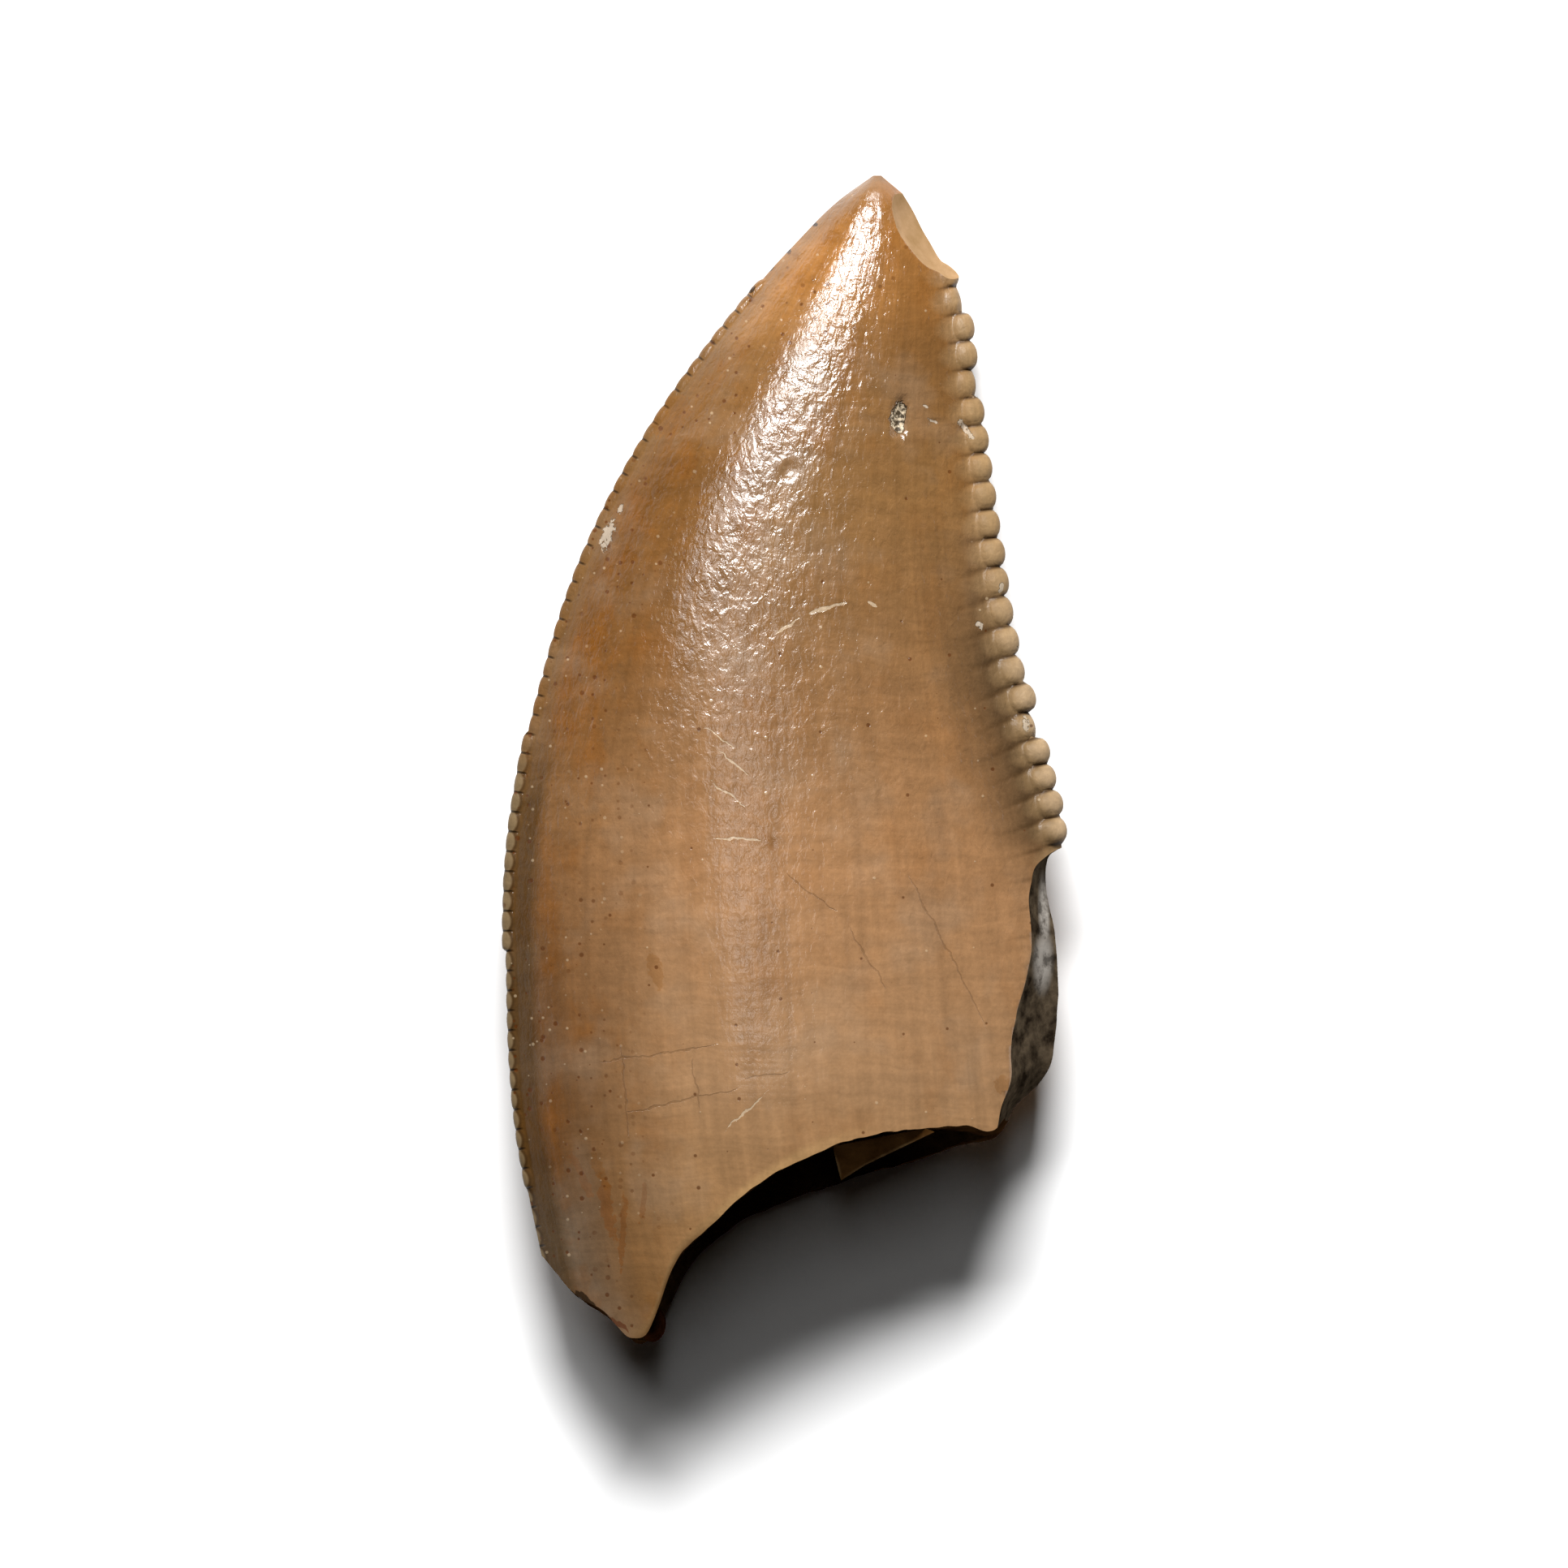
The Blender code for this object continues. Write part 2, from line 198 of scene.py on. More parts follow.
# The broken base, from x to y, on the labial and the lingual side.
labial_break_y = curve([
    (-4.40, -5.60), (-3.42, -6.94), (-3.02, -7.40), (-2.51, -7.76), (-2.16, -8.08), (-1.94, -8.02),
    (-1.56, -7.06), (-1.12, -6.57), (-0.52, -6.03), (0.08, -5.64), (0.69, -5.37), (1.30, -5.24),
    (1.90, -5.14), (2.51, -5.11), (2.94, -5.15), (3.15, -4.86), (3.57, -4.56), (4.40, -3.60),
])
lingual_break_y = curve([
    (-4.40, -5.60), (-3.42, -6.94), (-3.02, -7.43), (-2.51, -7.78), (-1.96, -8.17), (-1.72, -7.86),
    (-1.40, -7.22), (-0.76, -6.58), (0.33, -6.12), (1.30, -5.79), (2.51, -5.42), (3.06, -5.24),
    (3.30, -4.92), (3.57, -4.60), (4.40, -3.70),
])
BREAK_CHANGES_Z = (1.0, 2.5)
BREAK_LUMPS = [(0.55, 0.05), (0.16, 0.02)]
BREAK_HALF_WIDTH = 4.4
BREAK_Z = (-0.6, 4.6)
BREAK_FLOOR_Y = -12.0
BREAK_GRID = (240, 72)

# The shell-shaped chip at the tip: the middle of its floor, the turn of its long axis about Z and
# how far it faces up in degrees, its half length, half width and depth, and its ripples' height.
TIP_CHIP = ((1.80, 7.30, 0.57), 34.0, 28.0, (0.92, 0.85, 0.42), 0.014)

# The long chip along the distal side of the base, from y to x: where the enamel ends, and how far
# out the dentine under it still reaches.
chip_enamel_x = curve([
    (-6.00, 2.70), (-5.15, 2.95), (-4.83, 3.02), (-4.49, 3.15), (-4.04, 3.19), (-3.47, 3.23), (-3.13, 3.32),
    (-2.79, 3.41), (-2.22, 3.43), (-1.77, 3.45), (-1.43, 3.60), (-1.24, 3.90), (-1.10, 4.40),
])
chip_dentine_x = curve([
    (-6.00, 3.00), (-5.12, 3.11), (-4.86, 3.22), (-4.55, 3.57), (-4.36, 3.70), (-3.70, 3.80), (-2.90, 3.86),
    (-2.45, 3.83), (-1.99, 3.70), (-1.50, 3.70), (-1.31, 3.80), (-1.15, 4.20), (-1.05, 4.60),
])
CHIP_Y = (-6.0, -1.05)
CHIP_T = (-2.0, 2.5)
CHIP_GRID = (150, 72)
CHIP_LUMPS = [(0.9, 0.04), (0.3, 0.015)]
CHIP_UNDER_CARINA = 0.25
CHIP_LEAST_HEIGHT = 0.2
CHIP_SCOOP = 0.7
CHIP_LEAN_BELOW = 0.35
CHIP_LEAN_ABOVE = 0.5
CHIP_FLOOR_X = 6.0

# A thin flake that hangs from the inside of the labial wall, how far down it droops from its
# root, and a drop of dentine at the end of the spur: middle and half sizes.
FLAKE = [(0.60, -5.15), (0.67, -5.42), (0.78, -5.88), (1.12, -5.66), (2.08, -5.19), (1.40, -4.90)]
FLAKE_Z = (2.96, 3.12)
FLAKE_ROOT_Y = -5.10
FLAKE_DROOP = 0.75
SPUR_DROP = ((-1.86, -7.90, 1.9), (0.19, 0.26, 0.45))

# The view, in millimetres but for the first three: the photograph's pixels, those of them in one
# millimetre at the height of the edges, and the pixel row of the origin.
PHOTO_PIXELS = 1932
PIXELS_PER_MM = 88
ORIGIN_PIXEL_Y = 934.5
VIEW_WIDTH = PHOTO_PIXELS / PIXELS_PER_MM
VIEW_MIDDLE_Y = (ORIGIN_PIXEL_Y - PHOTO_PIXELS / 2) / PIXELS_PER_MM
VIEW_LEVEL_Z = 1.5
CAMERA_Z = 300.0
SENSOR = 36.0
FLOOR_HALF_WIDTH = 600.0

# Softboxes towards the tip, as seen from the tooth: their heights and turns about Z in degrees,
# width and height in millimetres, and powers. The low one gives the long soft shadow, and the
# left one lightens the left side of it.
SOFTBOXES = [
    ("low_softbox", 45.5, -1.5, (78.0, 50.0), 0.78),
    ("left_softbox", 45.0, -30.0, (70.0, 60.0), 0.09),
    ("high_softbox", 71.0, 1.0, (26.0, 92.0), 0.033),
]
LIGHT_DISTANCE = 200.0
AMBIENT = 0.008
AMBIENT_COLOUR = (1.0, 0.8, 0.65, 1.0)


def crown_points(angle, y, wall=0.0, carina_wall=0.0, taper=1.0):
    """Points of the surface at height y: angle 0 is the distal carina, 90 degrees the labial crest.

    The walls move them inwards, and the taper closes the section, for the pulp cavity.
    """
    mesial = mesial_x(y) + carina_wall
    distal = distal_x(y) - carina_wall
    labial = np.sin(angle) >= 0
    shift = np.where(labial, labial_shift(y), lingual_shift(y))
    crest_x = (mesial + distal) / 2 - shift * (distal - mesial) / 2
    edge_z = carina_z(y)
    across = np.cos(angle)
    reach = np.where(across > 0, distal - crest_x, crest_x - mesial)
    x = crest_x + reach * across * taper
    height = (crest_z(y) - wall - edge_z) * (1 - np.abs(across) ** LABIAL_POWER)
    hollow = HOLLOW_DEPTH * ramp(-y, -HOLLOW_Y[0], -HOLLOW_Y[1])
    hollow = hollow * np.exp(-(((x - crest_x - HOLLOW_OFFSET) / HOLLOW_HALF_WIDTH) ** 2))
    depth = (edge_z - belly_z(y) - wall - hollow) * (1 - np.abs(across) ** LINGUAL_POWER)
    z = edge_z + np.where(labial, height, -depth) * taper
    return np.stack([x, y, z], axis=-1)


def noise_at(points, size, seed=0.0):
    """Smooth noise about 0 at each point, with lumps of about this size in millimetres."""
    return np.array([noise.noise(Vector(point)) for point in points / size + seed])


def row_places(points, row):
    """Where points lie by a row: the denticle's number, the way inwards, the edge's y, and outwards."""
    edge, side = row["edge"], row["side"]
    x, y = points[:, 0], points[:, 1]
    foot = y.copy()
    for _ in range(4):
        slope = (edge(foot + LINE_STEP) - edge(foot - LINE_STEP)) / (2 * LINE_STEP)
        foot = foot + ((x - edge(foot)) * slope + (y - foot)) / (1 + slope**2)
        foot = np.clip(foot, ROOT_Y, TIP_Y)
    slope = (edge(foot + LINE_STEP) - edge(foot - LINE_STEP)) / (2 * LINE_STEP)
    outward = np.stack([np.ones_like(slope), -slope], axis=-1) * side / np.sqrt(1 + slope**2)[:, None]
    inwards = -((x - edge(foot)) * outward[:, 0] + (y - foot) * outward[:, 1])
    line_y = np.arange(TIP_Y, ROOT_Y, -LINE_STEP)
    length = np.concatenate([[0], np.cumsum(np.hypot(np.diff(edge(line_y)), np.diff(line_y)))])
    length = length - np.interp(-row["first_y"], -line_y, length)
    number = np.interp(-foot, -line_y, length) / row["pitch"]
    number = number - row["drawn"] * np.exp(-(((number - DRAWN_MIDDLE) / DRAWN_SPREAD) ** 2))
    return number, inwards, foot, outward


def larger_of(a, b, blend):
    """The larger of two values, rounded where they meet."""
    near = np.clip(blend - np.abs(a - b), 0, None) / blend
    return np.maximum(a, b) + near**2 * blend / 4


def grow_denticles(points, row):
    """Swells the carina into a row of rounded denticles with narrow notches between them."""
    place, inwards, foot, outward = row_places(points, row)
    number = np.clip(np.round(place), 0, row["count"] - 1).astype(int)
    share = number / (row["count"] - 1)
    uneven = noise_at(np.stack([number, number, number], axis=-1) * NOISE_STEP, 1.0, row["pitch"])
    proud = np.array([row["proud_of"].get(n, row["proud"]) for n in range(row["count"])])[number]
    proud = proud * (1 + UNEVEN * uneven)
    reach = row["reach"][0] + (row["reach"][1] - row["reach"][0]) * share
    half_up = row["half_up"][0] + (row["half_up"][1] - row["half_up"][0]) * share
    off = np.abs(place - number) * 2
    lobe = np.clip(1 - off ** row["round"], 0, 1) ** (1 / row["round"])
    limit = (row["notch"] + (1 - row["notch"]) * lobe) * (1 - ramp(off, *ROW_FADE))
    out = reach - proud - inwards
    up = points[:, 2] - carina_z(foot)
    far = np.hypot(out / reach, up / half_up)
    growth = larger_of(far, limit, DENTICLE_BLEND) / np.maximum(far, 1e-3)
    growth = np.where(inwards < ROW_DEPTH, growth, 1.0)
    moved = points.copy()
    moved[:, :2] += outward * (out * (growth - 1))[:, None]
    moved[:, 2] += up * (growth - 1)
    return moved


def face_relief(points, angle):
    """The low relief of the two faces, without their denticles, as a change of height."""
    across = np.cos(angle)
    labial = np.sin(angle) > 0
    fan = np.stack([across, points[:, 1], np.sign(np.sin(angle))], axis=-1) * np.array(FACET_STRETCH)
    stretched = points * np.array(WAVE_STRETCH)
    relief = WAVE_HEIGHT * noise_at(stretched, 1.0, 4.1) + FACET_HEIGHT * noise_at(fan, 1.0, 9.3)
    place, inwards, _, _ = row_places(points, DISTAL)
    start, deepest, end = FURROW_IN
    low_in_row = ramp(place, *FURROW_STARTS) * (1 - ramp(place, *FURROW_ENDS))
    furrow = ramp(inwards, start, deepest) * (1 - ramp(inwards, deepest, end))
    slanted = place - GROOVE_SLANT * inwards
    gap = 1 - 2 * np.abs(slanted - np.round(slanted))
    groove = (1 - ramp(gap, 0.0, GROOVE_HALF_WIDTH)) * ramp(inwards, *GROOVE_IN)
    groove *= 1 - ramp(inwards, GROOVE_OUT[0], GROOVE_OUT[1] + GROOVE_FARTHER * low_in_row)
    grooved = ramp(place, *GROOVE_STARTS) * (1 - ramp(place, *GROOVE_ENDS))
    grooved *= GROOVE_LEAST + (1 - GROOVE_LEAST) * low_in_row
    relief -= low_in_row * FURROW_DEPTH * furrow + grooved * GROOVE_DEPTH * groove
    for (x, y), long, wide, turn, depth in PITS:
        turn = math.radians(turn)
        dx, dy = points[:, 0] - x, points[:, 1] - y
        along = (dx * math.cos(turn) + dy * math.sin(turn)) / long
        beside = (dy * math.cos(turn) - dx * math.sin(turn)) / wide
        relief -= labial * depth * (1 - ramp(np.hypot(along, beside), 0.55, 1.15))
    relief -= np.where(labial, 0.0, LINGUAL_DROP)
    return relief * (1 - np.abs(across) ** 40)


def detailed_crown(angle, y):
    points = crown_points(angle, y)
    points[:, 2] += np.where(np.sin(angle) >= 0, 1, -1) * face_relief(points, angle)
    return grow_denticles(grow_denticles(points, DISTAL), MESIAL)


def read_points(data):
    """A mesh's points in millimetres, one row each."""
    flat = np.empty(len(data.vertices) * 3)
    data.vertices.foreach_get("co", flat)
    return flat.reshape(-1, 3) / MM


def move_points(data, points):
    data.vertices.foreach_set("co", (points * MM).ravel())
    data.update()


def object_from(mesh, name):
    bmesh.ops.recalc_face_normals(mesh, faces=mesh.faces)
    data = bpy.data.meshes.new(name)
    mesh.to_mesh(data)
    mesh.free()
    obj = bpy.data.objects.new(name, data)
    bpy.context.scene.collection.objects.link(obj)
    return obj


def make_ball(name, sides, rings, shape):
    """A sphere whose points move to shape(angle around it, share of the way from pole to pole)."""
    mesh = bmesh.new()
    verts = bmesh.ops.create_uvsphere(mesh, u_segments=sides, v_segments=rings, radius=1.0)["verts"]
    x, y, z = np.array([vertex.co for vertex in verts]).T
    angle = np.arctan2(y, x)
    share = np.arccos(np.clip(z, -1, 1)) / math.pi
    for vertex, point in zip(verts, shape(angle, share)):
        vertex.co = Vector(point) * MM
    return object_from(mesh, name)


def make_crown():
    """The whole crown with its denticles and relief, down past the break."""

    def shape(angle, share):
        y = TIP_Y + (ROOT_Y - TIP_Y) * share**CROWN_CROWDING
        return detailed_crown(angle + SIDE_CROWDING * np.sin(2 * angle), y)

    return make_ball("crown", CROWN_SIDES, CROWN_RINGS, shape)


def make_pulp_cavity():
    """The hollow inside the crown: the crown's own form, less its walls, with a slightly lumpy lining."""
    bottom = ROOT_Y - CAVITY_PAST_ROOT
    lump_size, lump_height = CAVITY_LUMPS

    def shape(angle, share):
        y = CAVITY_TOP_Y + (bottom - CAVITY_TOP_Y) * share**CAVITY_CROWDING
        taper = np.sin(share * math.pi / 2) ** CAVITY_TAPER
        points = crown_points(angle, y, WALL, CARINA_WALL, taper)
        points[:, 2] += lump_height * noise_at(points, lump_size)
        return points

    return make_ball("pulp_cavity", CAVITY_SIDES, CAVITY_RINGS, shape)


def make_block(name, grid, spans, surface, floor_axis, floor):
    """A block whose one face is surface(a, b) over two spans, and whose far end is at the floor."""
    mesh = bmesh.new()
    made = bmesh.ops.create_grid(mesh, x_segments=grid[0], y_segments=grid[1], size=1.0)
    for vertex in made["verts"]:
        a, b = [(low + high) / 2 + (high - low) / 2 * t for t, (low, high) in zip(vertex.co, spans)]
        vertex.co = Vector(surface(a, b)) * MM
    lower = bmesh.ops.extrude_face_region(mesh, geom=list(mesh.faces))["geom"]
    for vertex in lower:
        if isinstance(vertex, bmesh.types.BMVert):
            vertex.co[floor_axis] = floor * MM
    return object_from(mesh, name)


def lumps_at(a, b, sizes):
    """The height of broken stone's lumps at a place on a break, from (size, height) pairs."""
    return sum(height * noise.noise(Vector((a, b, 3.7 * size)) / size) for size, height in sizes)


def make_base_break():
    """A block under the crown whose upper face follows the rough break."""

    def surface(x, z):
        labial = ramp(z, *BREAK_CHANGES_Z)
        y = labial * labial_break_y(x) + (1 - labial) * lingual_break_y(x)
        return x, y + lumps_at(x, z, BREAK_LUMPS), z

    spans = ((-BREAK_HALF_WIDTH, BREAK_HALF_WIDTH), BREAK_Z)
    return make_block("base_break", BREAK_GRID, spans, surface, 1, BREAK_FLOOR_Y)


def labial_z(x, y):
    """The height of the smooth labial face."""
    mesial, distal = mesial_x(y), distal_x(y)
    crest_x = (mesial + distal) / 2 - labial_shift(y) * (distal - mesial) / 2
    across = min(abs(x - crest_x) / (distal - crest_x), 1.0)
    return carina_z(y) + (crest_z(y) - carina_z(y)) * (1 - across**LABIAL_POWER)


def make_distal_chip():
    """A block beside the crown whose inner face is the scooped floor of the long distal chip."""

    def surface(y, t):
        enamel_x, dentine_x = chip_enamel_x(y), chip_dentine_x(y)
        low = carina_z(y) - CHIP_UNDER_CARINA
        high = max(labial_z(enamel_x, y), low + CHIP_LEAST_HEIGHT)
        rough = lumps_at(y, t, CHIP_LUMPS)
        if t < 0:
            return dentine_x + CHIP_LEAN_BELOW * t + rough, y, low + t
        if t < 1:
            return dentine_x + (enamel_x - dentine_x) * t**CHIP_SCOOP + rough, y, low + (high - low) * t
        return enamel_x + CHIP_LEAN_ABOVE * (enamel_x - dentine_x) * (t - 1) + rough, y, high + t - 1

    return make_block("distal_chip", CHIP_GRID, (CHIP_Y, CHIP_T), surface, 0, CHIP_FLOOR_X)


def make_tip_chip():
    """An egg shape, faintly rippled, that leaves the shell-like hollow of the chip at the tip."""
    floor, outward, up, (half_length, half_width, depth), ripple = TIP_CHIP
    turn = Matrix.Rotation(math.radians(outward), 4, "Z") @ Matrix.Rotation(-math.radians(up), 4, "Y")
    centre = Vector(floor) + turn @ Vector((depth, 0, 0))
    mesh = bmesh.new()
    made = bmesh.ops.create_icosphere(mesh, subdivisions=6, radius=1.0)
    for vertex in made["verts"]:
        swell = 1 + ripple / depth * noise.noise(vertex.co * 3.0)
        vertex.co = centre + turn @ (vertex.co * Vector((depth, half_length, half_width)) * swell)
        vertex.co *= MM
    return object_from(mesh, "tip_chip")


def make_flake():
    """The thin drooping plate that still hangs from the labial wall."""
    low, high = FLAKE_Z
    mesh = bmesh.new()
    face = mesh.faces.new([mesh.verts.new((x, y, low)) for x, y in FLAKE])
    raised = bmesh.ops.extrude_face_region(mesh, geom=[face])["geom"]
    for vertex in raised:
        if isinstance(vertex, bmesh.types.BMVert):
            vertex.co.z = high
    for vertex in mesh.verts:
        vertex.co.z += FLAKE_DROOP * min(vertex.co.y - FLAKE_ROOT_Y, 0.0)
        vertex.co *= MM
    return object_from(mesh, "flake")


def make_spur_drop():
    """The small glossy lip of dentine at the end of the spur."""
    middle, half = SPUR_DROP
    place = Matrix.Translation(Vector(middle) * MM) @ Matrix.Diagonal([value * MM for value in half] + [1.0])
    mesh = bmesh.new()
    bmesh.ops.create_uvsphere(mesh, u_segments=24, v_segments=16, radius=1.0, matrix=place)
    return object_from(mesh, "spur_drop")


def cut_and_join(crown, cutters, joined):
    """Cuts and joins the crown with the others, which bring their materials, and leaves plain mesh."""
    for other in cutters + joined:
        modifier = crown.modifiers.new(other.name, "BOOLEAN")
        modifier.operation = "DIFFERENCE" if other in cutters else "UNION"
        modifier.solver = "EXACT"
        modifier.material_mode = "TRANSFER"
        modifier.object = other
    depsgraph = bpy.context.evaluated_depsgraph_get()
    solid = bpy.data.meshes.new_from_object(crown.evaluated_get(depsgraph))
    crown.modifiers.clear()
    crown.data = solid
    for other in cutters + joined:
        bpy.data.objects.remove(other)


def give_places(data, points):
    """Stores on each point where it lies on the crown, for the materials: see the attributes' names."""
    x, y, z = points.T
    middle = (mesial_x(y) + distal_x(y)) / 2
    places = {
        "across": (x - middle) / ((distal_x(y) - mesial_x(y)) / 2),
        "face_up": z - carina_z(y),
        "above_break": y - labial_break_y(x),
    }
    for name, row in (("distal", DISTAL), ("mesial", MESIAL)):
        places[name + "_number"], places[name + "_in"], _, _ = row_places(points, row)
    for name, values in places.items():
        attribute = data.attributes.new(name, "FLOAT", "POINT")
        attribute.data.foreach_set("value", values)


def linear(hex_colour):
    """An sRGB hex colour as the linear numbers that a shader takes."""
    channels = [int(hex_colour[i:i + 2], 16) / 255 for i in (1, 3, 5)]
    return [c / 12.92 if c <= 0.04045 else ((c + 0.055) / 1.055) ** 2.4 for c in channels] + [1.0]


def add(tree, kind, inputs, out=0, **settings):
    """Adds a node with its settings and its inputs, each a value or another node's output."""
    node = tree.nodes.new("ShaderNode" + kind)
    for name, value in settings.items():
        setattr(node, name, value)
    for name, value in inputs.items():
        if isinstance(value, bpy.types.NodeSocket):
            tree.links.new(value, node.inputs[name])
        else:
            node.inputs[name].default_value = value
    return node.outputs[out]


def new_material(name, roughness, ior):
    material = bpy.data.materials.new(name)
    material.use_nodes = True
    tree = material.node_tree
    shader = tree.nodes["Principled BSDF"]
    shader.inputs["Roughness"].default_value = roughness
    shader.inputs["IOR"].default_value = ior
    return material, tree, shader


def millimetres(tree):
    """The place on the piece in millimetres."""
    place = add(tree, "TexCoord", {}, "Object")
    return add(tree, "Mapping", {"Vector": place, "Scale": (1 / MM, 1 / MM, 1 / MM)})


def product(tree, first, *others):
    """Several masks multiplied together."""
    for other in others:
        first = add(tree, "Math", {0: first, 1: other}, operation="MULTIPLY")
    return first


def mark(tree, place, start, end, width):
    """1 along a narrow mark from start to end, down to 0 at its edge, in millimetres from above."""
    middle = ((start[0] + end[0]) / 2, (start[1] + end[1]) / 2, 0)
    turn = math.atan2(end[1] - start[1], end[0] - start[0])
    half = math.dist(start, end) / 2
    own = add(tree, "Mapping", {
        "Vector": place, "Location": middle, "Rotation": (0, 0, turn), "Scale": (half, width / 2, 1000),
    }, vector_type="TEXTURE")
    far = add(tree, "VectorMath", {0: own}, "Value", operation="LENGTH")
    return add(tree, "MapRange", {
        "Value": far, "From Min": 1.0, "From Max": 0.3,
    }, interpolation_type="SMOOTHSTEP")


def marks(tree, place, lines):
    """The marks of a list of (start, end, width), together."""
    together = mark(tree, place, *lines[0])
    for line in lines[1:]:
        together = add(tree, "Math", {0: together, 1: mark(tree, place, *line)}, operation="MAXIMUM")
    return together


def specks(tree, place, per_mm, radius, share):
    """Round dots of up to this radius in millimetres, in this share of cells 1 / per_mm wide."""
    cells = add(tree, "TexVoronoi", {"Vector": place, "Scale": per_mm}, voronoi_dimensions="2D").node
    chance = add(tree, "SeparateColor", {0: cells.outputs["Color"]})
    size = add(tree, "MapRange", {
        "Value": chance, "From Min": 1 - share, "From Max": 1.0, "To Max": radius * per_mm,
    })
    inside = add(tree, "Math", {0: size, 1: cells.outputs["Distance"]}, operation="SUBTRACT")
    return add(tree, "MapRange", {"Value": inside, "From Min": 0.0, "From Max": 0.35 * radius * per_mm})


# The enamel's stain from the base at 0 to the tip at 1.
BASE_TO_TIP = [
    (0.00, "#987146"), (0.22, "#8c6b4b"), (0.40, "#8c6745"), (0.55, "#785737"), (0.72, "#735330"),
    (0.84, "#73512d"), (0.94, "#986734"),
]

# Marks on the labial face: start, end and width in millimetres.
HAIR_CRACKS = [
    ((-0.10, -1.50), (0.86, -2.24), 0.035), ((0.80, -2.18), (1.55, -3.40), 0.035),
    ((1.50, -1.15), (3.05, -4.20), 0.035), ((-2.95, -4.30), (-0.60, -3.95), 0.04),
    ((-2.60, -5.05), (-0.30, -4.50), 0.04), ((-1.30, -4.00), (-1.15, -5.10), 0.03),
    ((-0.70, -4.45), (0.20, -4.35), 0.03), ((-2.30, -3.70), (-2.15, -5.60), 0.035),
]
PALE_SCRATCHES = [
    ((-0.18, 1.66), (0.28, 2.01), 0.07), ((0.24, 1.99), (0.98, 2.21), 0.08),
    ((1.15, 2.22), (1.33, 2.10), 0.06),
    # The long flat scratch across y -1.1 is partly a pale scratch and partly a painted highlight along it.
    ((-1.10, -1.10), (-0.18, -1.13), 0.045), ((-1.20, 0.52), (-0.62, 0.10), 0.03),
    ((-1.02, 0.20), (-0.40, -0.30), 0.03), ((-1.10, -0.25), (-0.45, -0.75), 0.03),
    ((-0.15, -4.55), (-0.95, -5.30), 0.03),
]
WHITE_CHIPS = [
    ((-2.56, 2.86), (-2.36, 3.44), 0.20), ((2.70, 1.93), (2.78, 1.78), 0.13),
    ((-2.34, 3.42), (-2.26, 3.60), 0.09),
    ((2.45, 4.80), (2.66, 4.42), 0.13), ((1.92, 4.97), (2.05, 4.90), 0.05),
    ((2.00, 4.76), (2.18, 4.66), 0.06), ((3.06, 2.50), (3.02, 2.30), 0.10),
    ((3.32, 1.60), (3.36, 1.42), 0.12), ((3.33, 0.62), (3.44, 0.35), 0.14),
]
RUST_STAINS = [
    ((2.95, -4.40), (3.20, -4.75), 0.30), ((-2.85, 2.00), (-2.50, 1.50), 0.60),
    ((-0.56, 6.33), (-0.40, 6.50), 0.14), ((0.10, 7.08), (0.24, 7.00), 0.12),
    ((-1.90, 4.40), (-1.30, 5.20), 0.70), ((-0.35, -0.95), (-0.05, -1.35), 0.25),
    ((-2.70, -5.40), (-2.45, -6.10), 0.22), ((-1.9, -2.60), (-1.7, -3.30), 0.28),
]
PIT_FILLS = [((1.56, 4.46), (1.64, 5.08), 0.26)]
CHIP_STREAKS = [((3.62, -1.50), (3.66, -2.85), 0.20), ((3.65, -2.30), (3.60, -3.40), 0.36)]
FLAKE_EDGES = [((0.64, -5.40), (0.80, -5.92), 0.12), ((0.74, -5.90), (2.10, -5.20), 0.12)]
EDGE_DIRT = [
    ((0.38, 7.48), (0.46, 7.55), 0.10), ((-0.02, 7.08), (0.10, 7.20), 0.13),
    ((-0.26, 6.82), (-0.12, 6.96), 0.12), ((-0.50, 6.52), (-0.42, 6.63), 0.09),
    ((-3.02, -7.37), (-2.56, -7.73), 0.16),
]
RED_EDGE = [((-2.55, -7.74), (-2.08, -8.02), 0.12)]
SPUR_STREAKS = [
    ((-3.05, -5.35), (-2.60, -6.30), 0.18), ((-2.60, -5.60), (-2.35, -6.90), 0.26),
    ((-2.20, -5.90), (-2.30, -7.40), 0.16), ((-1.90, -5.80), (-2.02, -6.60), 0.14),
]

# The marks by name, with how ragged their edges are.
MARKS = {
    "cracks": (HAIR_CRACKS, 0.5), "scratches": (PALE_SCRATCHES, 1.6), "chips": (WHITE_CHIPS, 4.0),
    "rust": (RUST_STAINS, 2.0), "edge dirt": (EDGE_DIRT, 1.2), "red edge": (RED_EDGE, 1.2),
    "spur streaks": (SPUR_STREAKS, 2.0), "pit": (PIT_FILLS, 1.2),
}

# Dark specks of iron oxide and pale specks, mostly 0.03 to 0.08 mm wide: cells per millimetre, the
# largest radius in millimetres, and the share of cells that have one. Most crowd the mesial side.
# The pale specks are partly pale grains and partly painted glints.
FEW_DARK = (1.7, 0.034, 0.6)
MORE_DARK = (5.5, 0.042, 0.65)
FEW_PALE = (1.3, 0.026, 0.6)
MORE_PALE = (4.0, 0.028, 0.55)
SPECKS_SHIFT = (31.0, 17.0, 0.0)

# Patterns in the enamel: the places that they follow, their stretch along X, Y and Z, their
# detail, and how much they lighten and darken the stain. The threads are about 0.12 mm apart.
PATTERNS = [
    ("threads across", "wandering", (0.5, 7.5, 1.0), 2.0, 0.36),
    ("bands across", "wandering", (0.25, 2.4, 0.6), 2.0, 0.22),
    ("threads down", "fan", (30.0, 0.5, 0.2), 2.0, 0.38),
    ("streaks down", "fan", (9.0, 0.2, 0.1), 3.0, 0.30),
    ("clouds", "place", (0.8, 0.8, 0.8), 3.0, 0.25),
    ("stain", "wandering", (1.5, 0.9, 1.2), 4.0, 0.0),
    ("mottle", "place", (3.4, 3.4, 3.4), 4.0, 0.36),
    ("grain", "place", (15.0, 15.0, 15.0), 3.0, 0.32),
]

